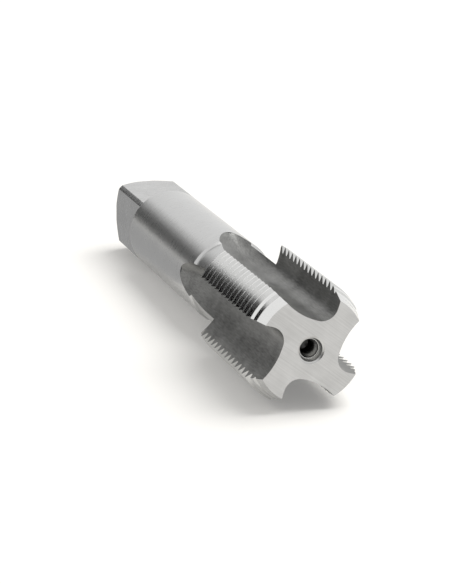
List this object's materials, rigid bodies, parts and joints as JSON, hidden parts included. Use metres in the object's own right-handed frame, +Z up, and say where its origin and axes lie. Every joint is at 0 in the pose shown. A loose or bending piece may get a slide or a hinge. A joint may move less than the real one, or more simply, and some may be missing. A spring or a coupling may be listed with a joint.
{
  "type": "thread tap",
  "caption": "Straight-flute hand tap for a right-hand pipe thread, with tapered lead, round shank and square drive.",
  "frame": {"origin": "centre of the bounding box in X and Y, at the height of the ground that the tap lies on", "axes": "+Z up. The tap's own axis lies in the XZ plane along X, cutting end towards +X and raised by about 2 degrees, because the back of the thread rests on the ground and so does the thinner shank. One flute faces down."},
  "size_m": [0.0704, 0.0146, 0.0153],
  "materials": {
    "tool_steel": "ground high-speed steel, bright lands and shank, darker milled flutes"
  },
  "bodies": {
    "root": {"thread_tap": "tool_steel"}
  },
  "joints": []
}
